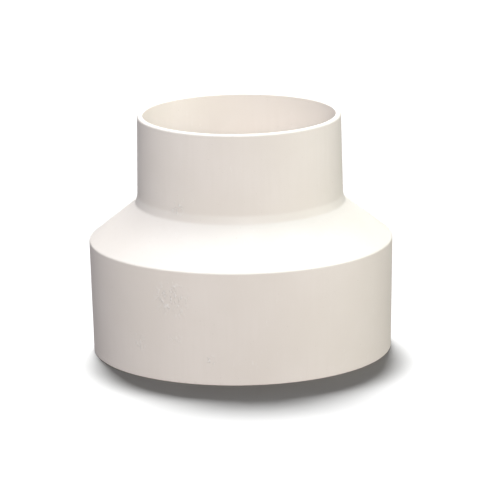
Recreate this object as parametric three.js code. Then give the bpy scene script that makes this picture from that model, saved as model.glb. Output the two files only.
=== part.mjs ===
// Concentric reducer for PVC sewer and drain pipe, nominal 6 in to 4 in, socket by socket.
//
// Two plain sockets and a conical shell, made separately and joined by a welded bead in a
// V-shaped groove at each joint. Each socket butts on a flat land of the cone, round a raised
// ring that centres it. The flat end of that ring is the stop for the pipe in the socket.
//
// Millimetres, +Z up. The origin is the centre of the large mouth, the face it stands on, and
// the axis of the reducer is Z. Every profile is a closed outline in (radius, height), drawn
// anticlockwise, so that it turns into one closed body.

import * as THREE from 'three';

// Outer surface
const HEIGHT = 133.5;
const LARGE_MOUTH_R = 83.7;
const SHOULDER_R = 85;
const SHOULDER_Z = 63;
const CONE_SLOPE = THREE.MathUtils.degToRad(38.5);
const NECK_FOOT_R = 57.6;
const NECK_RIM_R = 56.8;

// Edges of the outer surface
const RIM_ROUND = 1.3;
const RIM_INNER_ROUND = 0.5;
const MOUTH_ROUND = 0.6;
const SHOULDER_ROUND = 1.4;

// Flare at the foot of the neck: it leaves the neck line this high above the cone line, leans
// out from the axis, and is rounded wide at the neck and tight at the cone
const FOOT_LIFT = 3.6;
const FOOT_LEAN = THREE.MathUtils.degToRad(15);
const FOOT_WIDE_ROUND = 7;
const FOOT_TIGHT_ROUND = 2.5;

// Bores: each socket narrows a little from its mouth to its root
const SMALL_BORE_MOUTH_R = 53.8;
const SMALL_BORE_ROOT_R = 53.5;
const LARGE_BORE_MOUTH_R = 80.05;
const LARGE_BORE_ROOT_R = 79.65;

// Centring rings at the two ends of the cone: their flat ends are the pipe stops
const SMALL_STOP_Z = 85;
const SMALL_STOP_R = 50.4;
const SMALL_THROAT_LENGTH = 3;
const LARGE_STOP_Z = 60;
const LARGE_STOP_R = 76.6;
const LARGE_THROAT_LENGTH = 3.2;
const RING_HEIGHT = 1.5;

// Welded joints: flat lands butt inside, and the groove opens outwards from the root radius
const SMALL_LAND_Z = SMALL_STOP_Z - RING_HEIGHT;
const SMALL_ROOT_R = 55;
const LARGE_LAND_Z = LARGE_STOP_Z + RING_HEIGHT;
const LARGE_ROOT_R = 82;
const GROOVE_BELOW_SHOULDER = 4.8;
const GROOVE_ABOVE_SHOULDER = 0.8;
const ROOT_RELIEF = 0.5;

// Clearances drawn between welded pieces: across the joint, and along the outer surface
const GAP = 0.3;
const EDGE_GAP = 0.65;

const SEGMENTS = 96;
const ROUND_STEPS = 4;
const FLARE_STEPS = 3;

const point = (r, z) => new THREE.Vector2(r, z);

// Corner points where the straight lines of the outer surface would meet
const mouthCorner = point(LARGE_MOUTH_R, 0);
const shoulderCorner = point(SHOULDER_R, SHOULDER_Z);
const footCorner = point(NECK_FOOT_R, coneHeight(NECK_FOOT_R));
const rimCorner = point(NECK_RIM_R, HEIGHT);

// Ends of the flare's leaning stretch on the neck line and the cone line, before rounding
const flareTop = point(neckRadius(footCorner.y + FOOT_LIFT), footCorner.y + FOOT_LIFT);
const flareFoot = leaningOntoCone(flareTop, FOOT_LEAN);

// Height of the outer cone line at a radius
function coneHeight(r) {
  return SHOULDER_Z + (SHOULDER_R - r) * Math.tan(CONE_SLOPE);
}

// Radius of the collar's outer wall at a height
function collarRadius(z) {
  return THREE.MathUtils.mapLinear(z, 0, SHOULDER_Z, LARGE_MOUTH_R, SHOULDER_R);
}

// Radius of the neck's outer wall at a height
function neckRadius(z) {
  return THREE.MathUtils.mapLinear(z, footCorner.y, HEIGHT, NECK_FOOT_R, NECK_RIM_R);
}

// Point where a line that leans out from the axis on its way down meets the cone line
function leaningOntoCone(top, lean) {
  const fallPerRadius = 1 / Math.tan(lean);
  const reach = (top.y - coneHeight(top.x)) / (fallPerRadius - Math.tan(CONE_SLOPE));
  return point(top.x + reach, top.y - reach * fallPerRadius);
}

// Arc of the given radius that replaces the corner between two straight lines
function roundCorner(from, corner, to, radius, steps) {
  const back = from.clone().sub(corner).normalize();
  const ahead = to.clone().sub(corner).normalize();
  const halfAngle = Math.acos(back.dot(ahead)) / 2;
  const bisector = back.clone().add(ahead).normalize();
  const centre = corner.clone().addScaledVector(bisector, radius / Math.sin(halfAngle));
  const tangent = radius / Math.tan(halfAngle);
  const start = corner.clone().addScaledVector(back, tangent).sub(centre);
  const end = corner.clone().addScaledVector(ahead, tangent).sub(centre);
  const turn = Math.atan2(start.cross(end), start.dot(end));
  const arc = [];
  for (let i = 0; i <= steps; i += 1) {
    arc.push(start.clone().rotateAround(point(0, 0), (turn * i) / steps).add(centre));
  }
  return arc;
}

// One closed body turned from a closed outline
function turned(name, outline, material) {
  const geometry = new THREE.LatheGeometry([...outline, outline[0]], SEGMENTS);
  geometry.rotateX(Math.PI / 2);
  const mesh = new THREE.Mesh(geometry, material);
  mesh.name = name;
  return mesh;
}

function pvc(color) {
  return new THREE.MeshStandardMaterial({ color, roughness: 0.45, metalness: 0 });
}

const flare = [
  ...roundCorner(shoulderCorner, flareFoot, flareTop, FOOT_TIGHT_ROUND, FLARE_STEPS),
  ...roundCorner(flareFoot, flareTop, rimCorner, FOOT_WIDE_ROUND, FLARE_STEPS),
];
const flareLowEnd = flare[0];
const flareHighEnd = flare[flare.length - 1];

// Upper tube: square root end with its outer edge bevelled for the weld, round lip at the rim
function smallSocket() {
  const rootZ = SMALL_LAND_Z + GAP;
  const bevelZ = flareHighEnd.y + EDGE_GAP;
  const innerCorner = point(SMALL_BORE_MOUTH_R, HEIGHT);
  const outline = [
    point(SMALL_BORE_ROOT_R, rootZ),
    point(SMALL_ROOT_R, rootZ),
    point(neckRadius(bevelZ), bevelZ),
    ...roundCorner(footCorner, rimCorner, innerCorner, RIM_ROUND, ROUND_STEPS),
    ...roundCorner(rimCorner, innerCorner, point(SMALL_BORE_ROOT_R, rootZ), RIM_INNER_ROUND, 2),
  ];
  return turned('small_socket', outline, pvc(0xece6da));
}

// Conical shell: a land and a centring ring at each end, and a tapered passage between them
function coneShell() {
  const topR = flareLowEnd.x + EDGE_GAP;
  const bottomR = SHOULDER_R - GROOVE_ABOVE_SHOULDER - EDGE_GAP;
  const outline = [
    point(LARGE_STOP_R, LARGE_STOP_Z),
    point(LARGE_BORE_ROOT_R - GAP, LARGE_STOP_Z),
    point(LARGE_BORE_ROOT_R - GAP, LARGE_LAND_Z),
    point(LARGE_ROOT_R, LARGE_LAND_Z),
    point(bottomR, coneHeight(bottomR)),
    point(topR, coneHeight(topR)),
    point(SMALL_ROOT_R, SMALL_LAND_Z),
    point(SMALL_BORE_ROOT_R - GAP, SMALL_LAND_Z),
    point(SMALL_BORE_ROOT_R - GAP, SMALL_STOP_Z),
    point(SMALL_STOP_R, SMALL_STOP_Z),
    point(SMALL_STOP_R, SMALL_STOP_Z - SMALL_THROAT_LENGTH),
    point(LARGE_STOP_R, LARGE_STOP_Z + LARGE_THROAT_LENGTH),
  ];
  return turned('cone_shell', outline, pvc(0xf4f1e9));
}

// Lower tube: broken edges at the mouth, square root end with its outer edge bevelled
function largeSocket() {
  const rootZ = LARGE_LAND_Z - GAP;
  const bevelZ = SHOULDER_Z - GROOVE_BELOW_SHOULDER - EDGE_GAP;
  const innerCorner = point(LARGE_BORE_MOUTH_R, 0);
  const boreRoot = point(LARGE_BORE_ROOT_R, rootZ);
  const outline = [
    ...roundCorner(boreRoot, innerCorner, mouthCorner, MOUTH_ROUND, 2),
    ...roundCorner(innerCorner, mouthCorner, shoulderCorner, MOUTH_ROUND, 2),
    point(collarRadius(bevelZ), bevelZ),
    point(LARGE_ROOT_R, rootZ),
    boreRoot,
  ];
  return turned('large_socket', outline, pvc(0xeae4d8));
}

// Bead at the foot of the neck: fills the groove and blends neck and cone in a concave flare
function neckWeldBead() {
  const root = point(SMALL_ROOT_R + ROOT_RELIEF, SMALL_LAND_Z + ROOT_RELIEF);
  return turned('neck_weld_bead', [root, ...flare], pvc(0xf0ebe0));
}

// Bead at the shoulder: fills the groove and is dressed flush, leaving a lightly rounded edge
function shoulderWeldBead() {
  const root = point(LARGE_ROOT_R + ROOT_RELIEF, LARGE_LAND_Z - GAP / 2);
  const lowZ = SHOULDER_Z - GROOVE_BELOW_SHOULDER;
  const highR = SHOULDER_R - GROOVE_ABOVE_SHOULDER;
  const outline = [
    root,
    point(collarRadius(lowZ), lowZ),
    ...roundCorner(mouthCorner, shoulderCorner, footCorner, SHOULDER_ROUND, ROUND_STEPS),
    point(highR, coneHeight(highR)),
  ];
  return turned('shoulder_weld_bead', outline, pvc(0xf0ebe0));
}

const reducer = new THREE.Group();
reducer.add(smallSocket(), coneShell(), largeSocket(), neckWeldBead(), shoulderWeldBead());

export default reducer;
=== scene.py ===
import math

import bpy
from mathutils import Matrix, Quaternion, Vector, noise

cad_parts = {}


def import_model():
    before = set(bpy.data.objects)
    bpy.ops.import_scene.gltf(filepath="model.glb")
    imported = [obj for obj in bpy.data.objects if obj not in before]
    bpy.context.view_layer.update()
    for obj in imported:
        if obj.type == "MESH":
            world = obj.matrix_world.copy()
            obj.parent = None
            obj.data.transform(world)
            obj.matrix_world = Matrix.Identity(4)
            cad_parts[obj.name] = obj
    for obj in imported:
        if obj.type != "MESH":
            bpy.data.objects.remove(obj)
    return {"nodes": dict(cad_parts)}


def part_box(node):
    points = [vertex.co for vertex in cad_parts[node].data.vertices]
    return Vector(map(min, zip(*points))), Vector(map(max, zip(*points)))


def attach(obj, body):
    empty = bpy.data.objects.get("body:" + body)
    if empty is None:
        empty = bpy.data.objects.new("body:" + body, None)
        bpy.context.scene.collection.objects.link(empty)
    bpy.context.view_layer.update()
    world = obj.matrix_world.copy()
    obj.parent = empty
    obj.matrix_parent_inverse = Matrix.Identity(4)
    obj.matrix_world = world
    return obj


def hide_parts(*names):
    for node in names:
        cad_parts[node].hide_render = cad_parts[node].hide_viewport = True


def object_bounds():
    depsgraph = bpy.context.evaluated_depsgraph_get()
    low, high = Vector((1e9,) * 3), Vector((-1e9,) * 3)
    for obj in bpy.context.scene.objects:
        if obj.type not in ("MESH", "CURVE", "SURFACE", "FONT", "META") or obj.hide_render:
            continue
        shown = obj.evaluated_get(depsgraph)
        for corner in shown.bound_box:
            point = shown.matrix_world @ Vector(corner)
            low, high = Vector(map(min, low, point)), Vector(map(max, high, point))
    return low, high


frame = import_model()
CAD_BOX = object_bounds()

MM = 0.001

# ------------------------------------------------------------------ fineness of the turned pieces
SEGMENTS = 288
ARC_STEP = math.radians(6)
SHARP_ANGLE = math.radians(20)

# ------------------------------------------------------------------ edges, as on the CAD part
RIM_ROUND = 1.3 * MM
RIM_INNER_ROUND = 0.5 * MM
MOUTH_ROUND = 0.6 * MM
SHOULDER_ROUND = 1.4 * MM
FOOT_LIFT = 3.6 * MM
FOOT_LEAN = math.radians(15)
FOOT_WIDE_ROUND = 7 * MM
FOOT_TIGHT_ROUND = 2.5 * MM

# Edges finer than the CAD part shows
LEDGE_BREAK = 0.4 * MM
RING_CLEARANCE = 0.1 * MM
FOOT_WANDER = 0.3 * MM
FOOT_WAVES = 9.0
FOOT_STEPS = 7

# Scuffed spots: degrees from the front (towards +X), height, reach and strength
SCUFFS = [
    (-27, 47 * MM, 14 * MM, 1.0),
    (-42, 20 * MM, 7 * MM, 0.55),
    (-26, 25 * MM, 6 * MM, 0.5),
    (-12, 14 * MM, 4 * MM, 1.3),
    (-37, 91 * MM, 6 * MM, 1.5),
]
SCUFF_CORE = 0.3  # share of a spot's reach that is scuffed at full strength
WORN_EDGE = 2.4 * MM
FACED_EDGE = 0.25 * MM
FACING_PITCH = 0.35 * MM

# Where the frame is measured: shares of the collar's height, and distances kept from a wall's ends
COLLAR_LOW, COLLAR_HIGH = 0.2, 0.9
END_MARGIN = 1 * MM
RIM_MARGIN = 3 * MM
PASSAGE_MARGIN = 5 * MM
FLAT_TOLERANCE = 0.02 * MM


# ------------------------------------------------------------------ sizes read from the CAD frame
def wall(node, height):
    """Inner and outer radius of a turned CAD node at a height, from the edges of its outline."""
    mesh = frame["nodes"][node].data
    radii = []
    for edge in mesh.edges:
        a, b = (mesh.vertices[i].co for i in edge.vertices)
        turn = math.atan2(a.y, a.x) - math.atan2(b.y, b.x)
        if (a.z - height) * (b.z - height) >= 0 or abs(math.remainder(turn, math.tau)) > 1e-3:
            continue
        p = a.lerp(b, (height - a.z) / (b.z - a.z))
        radii.append(math.hypot(p.x, p.y))
    return min(radii), max(radii)


def flat(node, height):
    """Inner and outer radius of the flat ring face that a CAD node has at a height."""
    radii = [math.hypot(v.co.x, v.co.y) for v in frame["nodes"][node].data.vertices
             if abs(v.co.z - height) < FLAT_TOLERANCE]
    return min(radii), max(radii)


def line(node, side, low, high):
    """Two points (radius, height) on the inner (0) or outer (1) wall of a node."""
    return [Vector((wall(node, z)[side], z)) for z in (low, high)]


def at_height(points, z):
    """The point at a height on the line through two points."""
    a, b = points
    return a + (b - a) * ((z - a.y) / (b.y - a.y))


def crossing(one, other):
    """The point where two lines meet."""
    (a, b), (c, d) = one, other
    u, v = b - a, d - c
    t = ((c.x - a.x) * v.y - (c.y - a.y) * v.x) / (u.x * v.y - u.y * v.x)
    return a + u * t


class Sizes:
    """The reducer's corner points (radius, height) in metres, all worked out from the frame."""

    def __init__(self):
        collar_top, shoulder_high = (corner.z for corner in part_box("shoulder_weld_bead"))
        flare_low, flare_high = (corner.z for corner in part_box("neck_weld_bead"))
        cone_low, cone_high = (corner.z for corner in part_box("cone_shell"))
        small_root, rim = (corner.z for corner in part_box("small_socket"))
        large_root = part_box("large_socket")[1].z
        low, high = COLLAR_LOW * collar_top, COLLAR_HIGH * collar_top

        self.collar = line("large_socket", 1, low, high)
        self.cone = line("cone_shell", 1, shoulder_high + END_MARGIN, flare_low - END_MARGIN)
        self.neck = line("small_socket", 1, flare_high + END_MARGIN, rim - RIM_MARGIN)
        self.large_bore = line("large_socket", 0, low, high)
        self.small_bore = line("small_socket", 0, small_root + END_MARGIN, rim - RIM_MARGIN)

        self.mouth_outer = at_height(self.collar, 0)
        self.mouth_inner = at_height(self.large_bore, 0)
        self.rim_outer = at_height(self.neck, rim)
        self.rim_inner = at_height(self.small_bore, rim)
        self.shoulder = crossing(self.collar, self.cone)
        self.foot = crossing(self.cone, self.neck)

        self.groove_low = at_height(self.collar, collar_top)
        self.groove_high = at_height(self.cone, shoulder_high)
        self.large_weld_root = Vector((flat("large_socket", large_root)[1], large_root))
        self.small_weld_root = Vector((flat("small_socket", small_root)[1], small_root))
        self.large_bore_root = at_height(self.large_bore, large_root)
        self.small_bore_root = at_height(self.small_bore, small_root)

        self.large_stop = Vector((flat("cone_shell", cone_low)[0], cone_low))
        self.small_stop = Vector((flat("cone_shell", cone_high)[0], cone_high))
        passage = line("cone_shell", 0, cone_low + PASSAGE_MARGIN, cone_high - PASSAGE_MARGIN)
        self.large_throat = self.meet_radius(passage, self.large_stop.x)
        self.small_throat = self.meet_radius(passage, self.small_stop.x)

    @staticmethod
    def meet_radius(points, radius):
        """The point at a radius on the line through two points."""
        a, b = points
        return a + (b - a) * ((radius - a.x) / (b.x - a.x))


S = Sizes()
PART_HEIGHT = CAD_BOX[1].z - CAD_BOX[0].z
SHOULDER_R = CAD_BOX[1].x


# ------------------------------------------------------------------ mesh building
def arc(before, corner, after, radius, steps=None):
    """Points of the arc that rounds the corner between two straight lines."""
    back, ahead = (before - corner).normalized(), (after - corner).normalized()
    half = back.angle(ahead) / 2
    centre = corner + (back + ahead).normalized() * (radius / math.sin(half))
    reach = radius / math.tan(half)
    start, end = corner + back * reach - centre, corner + ahead * reach - centre
    turn = math.atan2(start.x * end.y - start.y * end.x, start.dot(end))
    steps = steps or max(3, math.ceil(abs(turn) / ARC_STEP))
    points = []
    for i in range(steps + 1):
        c, s = math.cos(turn * i / steps), math.sin(turn * i / steps)
        points.append(centre + Vector((start.x * c - start.y * s, start.x * s + start.y * c)))
    return points


def rounded(corners):
    """Closed outline through (point, edge radius) pairs; an edge radius of 0 keeps the corner."""
    outline = []
    for i, (corner, radius) in enumerate(corners):
        before, after = corners[i - 1][0], corners[(i + 1) % len(corners)][0]
        outline += arc(before, corner, after, radius) if radius else [corner]
    return outline


def ring_mesh(name, outline_at):
    """Closed ring whose section at each azimuth is the outline that outline_at gives there."""
    vertices, faces = [], []
    for i in range(SEGMENTS):
        turn = math.tau * i / SEGMENTS
        section = outline_at(turn)
        vertices += [(p.x * math.cos(turn), p.x * math.sin(turn), p.y) for p in section]
    count = len(section)
    for i in range(SEGMENTS):
        here, there = i * count, (i + 1) % SEGMENTS * count
        for j in range(count):
            k = (j + 1) % count
            faces.append((here + j, there + j, there + k, here + k))
    return finished(name, vertices, faces)


def finished(name, vertices, faces):
    """A smooth-shaded object with its sharp edges marked."""
    mesh = bpy.data.meshes.new(name)
    mesh.from_pydata(vertices, [], faces)
    mesh.shade_smooth()
    mesh.set_sharp_from_angle(angle=SHARP_ANGLE)
    piece = bpy.data.objects.new(name, mesh)
    bpy.context.scene.collection.objects.link(piece)
    return piece


# ------------------------------------------------------------------ the five turned pieces
def large_socket():
    outline = rounded([
        (S.mouth_inner, MOUTH_ROUND),
        (S.mouth_outer, MOUTH_ROUND),
        (S.groove_low, 0),
        (S.large_weld_root, 0),
        (S.large_bore_root, 0),
    ])
    return ring_mesh("large_socket_wall", lambda turn: outline)


def small_socket():
    outline = rounded([
        (S.small_bore_root, 0),
        (S.small_weld_root, 0),
        (foot_flare(FOOT_LIFT - FOOT_WANDER)[-1], 0),
        (S.rim_outer, RIM_ROUND),
        (S.rim_inner, RIM_INNER_ROUND),
    ])
    return ring_mesh("small_socket_wall", lambda turn: outline)


def cone_shell():
    large_ring = S.large_bore_root.x - RING_CLEARANCE
    small_ring = S.small_bore_root.x - RING_CLEARANCE
    outline = rounded([
        (S.large_stop, LEDGE_BREAK),
        (Vector((large_ring, S.large_stop.y)), LEDGE_BREAK),
        (Vector((large_ring, S.large_weld_root.y)), 0),
        (S.large_weld_root, 0),
        (S.groove_high, 0),
        (foot_flare(FOOT_LIFT - FOOT_WANDER)[0], 0),
        (S.small_weld_root, 0),
        (Vector((small_ring, S.small_weld_root.y)), 0),
        (Vector((small_ring, S.small_stop.y)), LEDGE_BREAK),
        (S.small_stop, LEDGE_BREAK),
        (S.small_throat, LEDGE_BREAK),
        (S.large_throat, LEDGE_BREAK),
    ])
    return ring_mesh("cone_shell_wall", lambda turn: outline)


def foot_flare(lift):
    """Outline of the neck's foot: tight arc off the cone, a lean, then a wide arc to the neck."""
    high = at_height(S.neck, S.foot.y + lift)
    lean = [high, high + Vector((math.sin(FOOT_LEAN), -math.cos(FOOT_LEAN)))]
    low = crossing(S.cone, lean)
    return (arc(S.shoulder, low, high, FOOT_TIGHT_ROUND, FOOT_STEPS)
            + arc(low, high, S.rim_outer, FOOT_WIDE_ROUND, FOOT_STEPS))


def neck_bead():
    """The flare at the foot of the neck; its height wanders a little, as a laid bead does."""
    def outline(turn):
        place = Vector((math.cos(turn), math.sin(turn), 0)) * FOOT_WAVES / math.tau
        return [S.small_weld_root] + foot_flare(FOOT_LIFT + FOOT_WANDER * noise.noise(place))
    return ring_mesh("neck_bead", outline)


def shoulder_bead():
    outline = rounded([
        (S.large_weld_root, 0),
        (S.groove_low, 0),
        (S.shoulder, SHOULDER_ROUND),
        (S.groove_high, 0),
    ])
    return ring_mesh("shoulder_bead", lambda turn: outline)


# ------------------------------------------------------------------ materials
class Nodes:
    """Short names for building one material's node tree."""

    def __init__(self, name):
        self.material = bpy.data.materials.new(name)
        self.material.use_nodes = True
        self.tree = self.material.node_tree
        self.bsdf = self.tree.nodes["Principled BSDF"]
        self.place = self.tree.nodes.new("ShaderNodeTexCoord").outputs["Object"]

    def node(self, kind, inputs=None, **settings):
        made = self.tree.nodes.new("ShaderNode" + kind)
        for key, value in settings.items():
            setattr(made, key, value)
        for key, value in (inputs or {}).items():
            self.feed(made.inputs[key], value)
        return made

    def feed(self, socket, value):
        if isinstance(value, bpy.types.NodeSocket):
            self.tree.links.new(value, socket)
        else:
            socket.default_value = value

    def stretched(self, across, along):
        """Object coordinates scaled across the axis and along it."""
        inputs = {"Vector": self.place, "Scale": (across, across, along)}
        return self.node("Mapping", inputs).outputs[0]

    def noise(self, vector, scale, detail=3.0, roughness=0.55):
        inputs = {"Vector": vector, "Scale": scale, "Detail": detail, "Roughness": roughness}
        return self.node("TexNoise", inputs).outputs["Fac"]

    def height(self):
        return self.node("SeparateXYZ", {0: self.place}).outputs["Z"]

    def distance(self, spot):
        made = self.node("VectorMath", {0: self.place, 1: spot}, operation="DISTANCE")
        return made.outputs["Value"]

    def spread(self, value, low, high, to_low=0.0, to_high=1.0):
        inputs = {"Value": value, "From Min": low, "From Max": high,
                  "To Min": to_low, "To Max": to_high}
        return self.node("MapRange", inputs, interpolation_type="SMOOTHSTEP").outputs[0]

    def math(self, operation, a, b):
        return self.node("Math", {0: a, 1: b}, operation=operation).outputs[0]

    def bump(self, height, strength, distance, normal=None):
        inputs = {"Height": height, "Strength": strength, "Distance": distance}
        if normal is not None:
            inputs["Normal"] = normal
        return self.node("Bump", inputs).outputs[0]

    def mix(self, factor, a, b):
        made = self.node("Mix", data_type="RGBA")
        for key, value in ((0, factor), (6, a), (7, b)):
            self.feed(made.inputs[key], value)
        return made.outputs[2]


def rgb(r, g, b):
    return (r, g, b, 1.0)


def scuffed(n):
    """The spot's own strength in the middle of each scuffed spot, 0 away from them all."""
    near = 0.0
    for degrees, height, reach, strength in SCUFFS:
        turn = math.radians(degrees)
        radius = at_height(S.neck if height > S.foot.y else S.collar, height).x
        spot = (radius * math.sin(turn), -radius * math.cos(turn), height)
        scuff = n.spread(n.distance(spot), reach, SCUFF_CORE * reach, 0.0, strength)
        near = n.math("MAXIMUM", near, scuff)
    return near


def by_the_ends(n, reach):
    """1 at the rim and at the mouth, fading to 0 at a reach from them."""
    rim = S.rim_outer.y
    top = n.spread(n.height(), rim - reach, rim)
    return n.math("MAXIMUM", top, n.spread(n.height(), reach, 0.0))


def facing_rings(n):
    """The fine rings that a facing tool leaves on the flat ends."""
    # Blender's ring texture repeats every tau / 20 of a scaled unit
    inputs = {"Vector": n.place, "Scale": math.tau / 20 / FACING_PITCH,
              "Distortion": 0.6, "Detail Scale": 40.0}
    made = n.node("TexWave", inputs, wave_type="RINGS", rings_direction="Z")
    return made.outputs["Fac"]


# Scales of the uPVC's marks, as noise cells per metre
CLOUD_SCALE = 24.0
STREAK_SCALE = 420.0
SPECK_SCALE = 950.0
RUB_SCALE = 38.0
RUB_LINE_SCALE = 640.0
FLECK_SCALE = 560.0
NICK_SCALE = 430.0
ROUGHNESS_SCALE = 60.0
WAVINESS_SCALE = 30.0

# Strengths of the uPVC's marks
RUB_PALE, FLECK_PALE = 0.35, 0.5
NICK_DARK = 0.22
STREAK_SHADE = 0.45
SPECK_DARK = 0.5
ROUGHNESS_RANGE = 0.05
WORN_ROUGHNESS = 0.12
UPVC_IOR = 1.53
FLECK_HEIGHT = 3.0

# Depths of the uPVC's relief
WAVINESS_DEPTH = 0.4 * MM
FINE_DEPTH = 0.02 * MM
DENT_DEPTH = 0.10 * MM


def pvc(name, base, shade, speck, roughness, streak, grain):
    """White uPVC: cloudy colour, streaks, specks, scuffs, worn ends and a fine moulded grain."""
    n = Nodes(name)
    clouds = n.spread(n.noise(n.place, CLOUD_SCALE), 0.3, 0.7)
    streaks = n.noise(n.stretched(1.0, streak), STREAK_SCALE, 2.0)
    colour = n.mix(clouds, base, shade)
    colour = n.mix(n.spread(streaks, 0.35, 0.75, 0.0, STREAK_SHADE), colour, shade)
    specks = n.spread(n.noise(n.place, SPECK_SCALE, 1.0), 0.76, 0.80, 0.0, SPECK_DARK)
    colour = n.mix(specks, colour, speck)

    rub_lines = n.noise(n.stretched(1.0, 0.35), RUB_LINE_SCALE, 4.0, 0.7)
    rubbed = n.math("MULTIPLY",
                    n.spread(n.noise(n.place, RUB_SCALE, 2.0), 0.52, 0.68),
                    n.spread(rub_lines, 0.58, 0.72))
    flecks = n.spread(n.noise(n.stretched(1.0, 0.7), FLECK_SCALE, 3.0, 0.6), 0.52, 0.60)
    flecks = n.math("MULTIPLY", flecks, scuffed(n))
    nicks = n.spread(n.noise(n.place, NICK_SCALE, 3.0, 0.6), 0.58, 0.66)
    nicks = n.math("MULTIPLY", nicks, by_the_ends(n, WORN_EDGE))
    pale = n.math("MAXIMUM",
                  n.math("MULTIPLY", rubbed, RUB_PALE),
                  n.math("MULTIPLY", flecks, FLECK_PALE))
    colour = n.mix(pale, colour, rgb(0.92, 0.88, 0.83))
    colour = n.mix(n.math("MULTIPLY", nicks, NICK_DARK), colour, speck)
    n.feed(n.bsdf.inputs["Base Color"], colour)

    rough = n.spread(n.noise(n.place, ROUGHNESS_SCALE, 4.0), 0.3, 0.7,
                     roughness - ROUGHNESS_RANGE, roughness + ROUGHNESS_RANGE)
    worn = n.math("MAXIMUM", n.math("MAXIMUM", rubbed, flecks), nicks)
    rough = n.math("ADD", rough, n.math("MULTIPLY", worn, WORN_ROUGHNESS))
    n.feed(n.bsdf.inputs["Roughness"], rough)
    n.bsdf.inputs["IOR"].default_value = UPVC_IOR

    faced = n.math("MULTIPLY", facing_rings(n), by_the_ends(n, FACED_EDGE))
    normal = n.bump(n.noise(n.place, WAVINESS_SCALE, 1.0), 0.35, WAVINESS_DEPTH)
    normal = n.bump(streaks, 0.25, FINE_DEPTH, normal)
    normal = n.bump(n.noise(n.place, grain, 2.0), 0.3, FINE_DEPTH, normal)
    dents = n.math("SUBTRACT", n.math("MULTIPLY", flecks, FLECK_HEIGHT), nicks)
    normal = n.bump(dents, 0.7, DENT_DEPTH, normal)
    normal = n.bump(faced, 0.5, FINE_DEPTH, normal)
    n.feed(n.bsdf.inputs["Normal"], normal)
    return n.material


def floor_material():
    n = Nodes("studio_floor")
    tone = n.spread(n.noise(n.place, 3.0), 0.3, 0.7)
    n.feed(n.bsdf.inputs["Base Color"], n.mix(tone, rgb(0.34, 0.34, 0.34), rgb(0.36, 0.36, 0.36)))
    n.bsdf.inputs["Roughness"].default_value = 0.9
    n.bsdf.inputs["Specular IOR Level"].default_value = 0.1
    return n.material


# ------------------------------------------------------------------ stage, lights and camera
# Camera and the point it looks at, in shoulder radii
CAMERA_BACK = 24.0
CAMERA_HEIGHT = 6.63
AIM_ACROSS = 0.0587
AIM_HEIGHT = 0.6487
CAMERA_ROLL = math.radians(-0.875)
LENS = 269.4  # mm
FLOOR_SIZE = 16.0  # metres
FLOOR_GAP = 0.05 * MM

# Light from straight below; it fades to nothing at the horizon
BOUNCE = 0.85

# On the floor alone: azimuth and elevation, angular size in degrees, power
SUNS = [
    ("floor_key", 185.5, 58.5, 18, 10.6),
    ("floor_fill", 180, 75, 50, 1.1),
]

# On the object alone: azimuth and elevation in degrees, power in watts, colour
SOFTBOX_DISTANCE = 1.6
SOFTBOX_SIZE = 0.8
SOFTBOXES = [
    ("front", 0, 25, 19.4, (0.98, 0.99, 1.00)),
    ("back_high", 180, 75, 19.6, (1.00, 1.00, 1.00)),
    ("back_low", 180, 25, 9.0, (1.00, 1.00, 1.00)),
    ("left_high", -90, 55, 11.4, (0.77, 0.85, 1.00)),
    ("right_high", 90, 55, 10.5, (0.63, 0.85, 1.00)),
    ("right_low", 90, 15, 9.1, (1.00, 0.95, 0.79)),
]


def floor():
    """The plain floor. It neither bounces light onto the object nor shades it."""
    half = FLOOR_SIZE / 2
    z = CAD_BOX[0].z - FLOOR_GAP
    corners = [(-half, -half, z), (half, -half, z), (half, half, z), (-half, half, z)]
    mesh = bpy.data.meshes.new("floor")
    mesh.from_pydata(corners, [], [(0, 1, 2, 3)])
    mesh.materials.append(floor_material())
    plane = bpy.data.objects.new("floor", mesh)
    bpy.context.scene.collection.objects.link(plane)
    plane.visible_diffuse = False
    plane.visible_glossy = False
    plane.visible_shadow = False
    return plane


def camera():
    """A long lens on -Y, looking slightly down at the object."""
    data = bpy.data.cameras.new("camera")
    data.lens = LENS
    data.sensor_width = 36.0
    data.clip_start, data.clip_end = 0.05, 50.0
    made = bpy.data.objects.new("camera", data)
    bpy.context.scene.collection.objects.link(made)
    made.location = Vector((0, -CAMERA_BACK, CAMERA_HEIGHT)) * SHOULDER_R
    aim = Vector((AIM_ACROSS, 0, AIM_HEIGHT)) * SHOULDER_R
    made.rotation_mode = "QUATERNION"
    look = (aim - made.location).to_track_quat("-Z", "Y")
    made.rotation_quaternion = look @ Quaternion((0, 0, 1), CAMERA_ROLL)
    bpy.context.scene.camera = made


def aimed(name, kind, azimuth, elevation, distance):
    """A light at an azimuth from the camera side, turned towards the object's middle."""
    data = bpy.data.lights.new(name, kind)
    made = bpy.data.objects.new(name, data)
    bpy.context.scene.collection.objects.link(made)
    a, e = math.radians(azimuth), math.radians(elevation)
    out = Vector((math.sin(a) * math.cos(e), -math.cos(a) * math.cos(e), math.sin(e)))
    made.location = Vector((0, 0, PART_HEIGHT / 2)) + out * distance
    made.rotation_mode = "QUATERNION"
    made.rotation_quaternion = (-out).to_track_quat("-Z", "Y")
    return made


def softbox(name, azimuth, elevation, power, colour):
    made = aimed(name, "AREA", azimuth, elevation, SOFTBOX_DISTANCE)
    made.data.shape = "SQUARE"
    made.data.size = SOFTBOX_SIZE
    made.data.energy = power
    made.data.color = colour
    return made


def sun(name, azimuth, elevation, spread, power):
    made = aimed(name, "SUN", azimuth, elevation, SOFTBOX_DISTANCE)
    made.data.angle = math.radians(spread)
    made.data.energy = power
    return made


def falls_on(light, receivers):
    """Let a light fall on these objects alone. Every object still shades it."""
    lit = bpy.data.collections.new(light.name + "_falls_on")
    for receiver in receivers:
        lit.objects.link(receiver)
    light.light_linking.receiver_collection = lit


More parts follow.
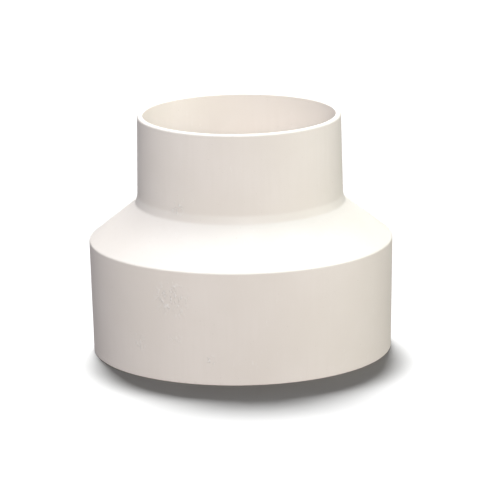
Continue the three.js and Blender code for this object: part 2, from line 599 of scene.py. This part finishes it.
def world():
    """Warm light bounced up from below the horizon. The camera sees a white room."""
    made = bpy.data.worlds.new("studio")
    made.use_nodes = True
    nodes, links = made.node_tree.nodes, made.node_tree.links

    def ramp(low, high):
        node = nodes.new("ShaderNodeMapRange")
        node.inputs["To Min"].default_value, node.inputs["To Max"].default_value = low, high
        return node

    aim = nodes.new("ShaderNodeSeparateXYZ")
    links.new(nodes.new("ShaderNodeTexCoord").outputs["Generated"], aim.inputs[0])
    below = ramp(0.0, BOUNCE)
    below.inputs["From Max"].default_value = -1.0
    links.new(aim.outputs["Z"], below.inputs["Value"])
    bounce, room = nodes["Background"], nodes.new("ShaderNodeBackground")
    bounce.inputs["Color"].default_value = rgb(1.0, 0.92, 0.94)
    links.new(below.outputs["Result"], bounce.inputs["Strength"])
    room.inputs["Color"].default_value = rgb(1.0, 1.0, 1.0)
    either = nodes.new("ShaderNodeMixShader")
    links.new(nodes.new("ShaderNodeLightPath").outputs["Is Camera Ray"], either.inputs[0])
    links.new(bounce.outputs[0], either.inputs[1])
    links.new(room.outputs[0], either.inputs[2])
    links.new(either.outputs[0], nodes["World Output"].inputs["Surface"])
    bpy.context.scene.world = made


# ------------------------------------------------------------------ assembly
def dress(piece, node, material):
    piece.data.materials.append(material)
    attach(piece, "root")
    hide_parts(node)
    return piece


def build_reducer():
    warm, shade, speck = rgb(0.83, 0.76, 0.69), rgb(0.80, 0.73, 0.655), rgb(0.58, 0.52, 0.44)
    socket_look = pvc("socket_upvc", warm, shade, speck, 0.58, 0.06, 2600.0)
    cone_look = pvc("cone_upvc", warm, shade, speck, 0.56, 0.25, 2600.0)
    weld_look = pvc("weld_upvc", warm, shade, speck, 0.54, 1.0, 1800.0)
    return [
        dress(large_socket(), "large_socket", socket_look),
        dress(small_socket(), "small_socket", socket_look),
        dress(cone_shell(), "cone_shell", cone_look),
        dress(neck_bead(), "neck_weld_bead", weld_look),
        dress(shoulder_bead(), "shoulder_weld_bead", weld_look),
    ]


def build_studio(pieces):
    plane = floor()
    for settings in SUNS:
        falls_on(sun(*settings), [plane])
    for settings in SOFTBOXES:
        falls_on(softbox(*settings), pieces)
    world()
    camera()
    bpy.context.scene.view_settings.view_transform = "Standard"


build_studio(build_reducer())
